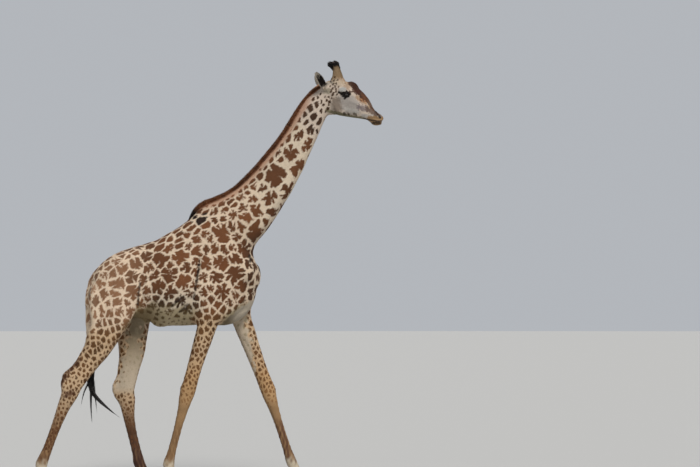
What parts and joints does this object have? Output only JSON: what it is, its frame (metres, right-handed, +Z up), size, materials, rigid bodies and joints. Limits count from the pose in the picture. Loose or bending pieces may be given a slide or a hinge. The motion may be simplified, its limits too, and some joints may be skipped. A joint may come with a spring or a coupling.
{
  "type": "giraffe",
  "caption": "Life-size still model of a young adult Masai giraffe bull in mid-stride, with patterned coat, upright mane, skin-covered horns, tufted tail and cloven hooves.",
  "frame": {"origin": "on the floor, under the centre of the bounding box", "axes": "+Z up; the head looks towards -Y, so the right side faces -X and the left side +X"},
  "size_m": [0.681, 3.8466, 4.7473],
  "materials": {
    "coat": "matte short hair, cream with red-brown patches",
    "mane": "stiff rust-brown hair",
    "tassel": "long black hair",
    "hoof": "worn dark horn",
    "eye": "wet dark brown"
  },
  "bodies": {
    "root": {"ear_left": "coat", "ear_right": "coat", "eye_left": "eye", "eye_right": "eye", "foreleg_left": "coat", "foreleg_right": "coat", "head": "coat", "hindleg_left": "coat", "hindleg_right": "coat", "hoof_foreleg_left_inner": "hoof", "hoof_foreleg_left_outer": "hoof", "hoof_foreleg_right_inner": "hoof", "hoof_foreleg_right_outer": "hoof", "hoof_hindleg_left_inner": "hoof", "hoof_hindleg_left_outer": "hoof", "hoof_hindleg_right_inner": "hoof", "hoof_hindleg_right_outer": "hoof", "horn_left": "coat", "horn_right": "coat", "mane": "mane", "neck": "coat", "tail": "coat", "tail_tassel": "tassel", "trunk": "coat"}
  },
  "joints": []
}
